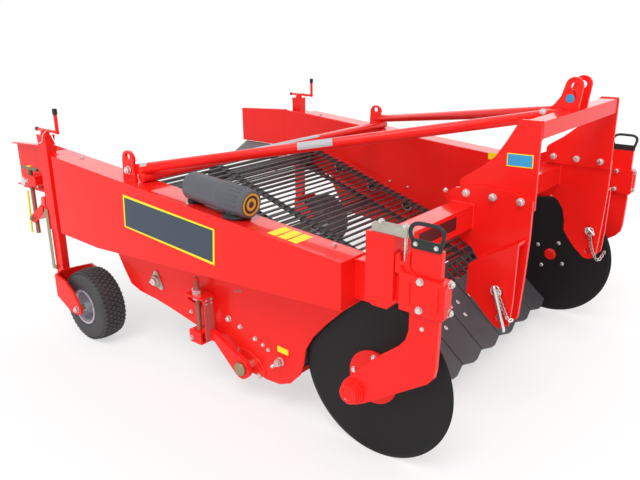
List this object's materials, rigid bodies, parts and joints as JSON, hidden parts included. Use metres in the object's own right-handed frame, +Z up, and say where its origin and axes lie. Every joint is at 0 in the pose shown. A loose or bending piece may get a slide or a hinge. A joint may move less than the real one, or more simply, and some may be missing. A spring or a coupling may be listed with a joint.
{
  "type": "tractor-mounted potato digger",
  "caption": "Tractor-mounted potato digger: share blades and side discs feed a rod web between box beams, with a three-point headstock and height-set rear wheels.",
  "frame": {"origin": "on the floor under the middle of the machine's box", "axes": "+X forward to the tractor, +Y to the machine's left, +Z up"},
  "size_m": [2.55, 1.938, 1.2516],
  "materials": {
    "red_paint": "gloss red paint",
    "share_steel": "dark paint",
    "web_steel": "dark bare steel",
    "disc_steel": "black paint",
    "grey_plastic": "matte",
    "tyre": "rubber",
    "silver_paint": "silver paint"
  },
  "bodies": {
    "frame": {"side_beam_left": "red_paint", "side_beam_right": "red_paint", "side_wall_left": "red_paint", "side_wall_right": "red_paint", "rear_wing_left": "red_paint", "rear_wing_right": "red_paint", "rear_flap_left": "red_paint", "rear_flap_right": "red_paint", "leg_sleeve_left": "red_paint", "leg_sleeve_right": "red_paint", "stay_left": "red_paint", "stay_right": "red_paint", "head_plate_left": "red_paint", "head_plate_right": "red_paint", "post_plate_left": "red_paint", "post_plate_right": "red_paint", "disc_post_left": "red_paint", "disc_post_right": "red_paint", "disc_clamp_left": "red_paint", "disc_clamp_right": "red_paint", "disc_arm_left": "red_paint", "disc_arm_right": "red_paint", "adjuster_left": "red_paint", "adjuster_right": "red_paint", "cross_bar": "red_paint", "top_beam": "red_paint", "mast_ears": "red_paint", "lower_cross_beam": "red_paint", "share_beam": "red_paint", "share_blades": "share_steel", "web": "web_steel", "web_rollers": "web_steel", "document_tube": "grey_plastic", "gearbox": "share_steel", "chain_case": "red_paint"},
    "disc_unit_left": {"disc_left": "disc_steel", "disc_hub_left": "red_paint"},
    "leg_unit_left": {"leg_left": "red_paint"},
    "wheel_left": {"tyre_left": "tyre", "rim_left": "silver_paint"},
    "disc_unit_right": {"disc_right": "disc_steel", "disc_hub_right": "red_paint"},
    "leg_unit_right": {"leg_right": "red_paint"},
    "wheel_right": {"tyre_right": "tyre", "rim_right": "silver_paint"}
  },
  "joints": [
    {"name": "disc_left_spin", "type": "hinge", "parent": "frame", "child": "disc_unit_left", "pos_m": [0.929, 0.779, 0.299], "axis": [0, 1, 0], "continuous": true},
    {"name": "leg_left_slide", "type": "slide", "parent": "frame", "child": "leg_unit_left", "axis": [0, 0, 1], "range_m": [-0.1, 0.12]},
    {"name": "wheel_left_spin", "type": "hinge", "parent": "leg_unit_left", "child": "wheel_left", "pos_m": [-0.62, 0.86, 0.171], "axis": [0, 1, 0], "continuous": true},
    {"name": "disc_right_spin", "type": "hinge", "parent": "frame", "child": "disc_unit_right", "pos_m": [0.929, -0.779, 0.299], "axis": [0, 1, 0], "continuous": true},
    {"name": "leg_right_slide", "type": "slide", "parent": "frame", "child": "leg_unit_right", "axis": [0, 0, 1], "range_m": [-0.1, 0.12]},
    {"name": "wheel_right_spin", "type": "hinge", "parent": "leg_unit_right", "child": "wheel_right", "pos_m": [-0.62, -0.86, 0.171], "axis": [0, 1, 0], "continuous": true}
  ]
}
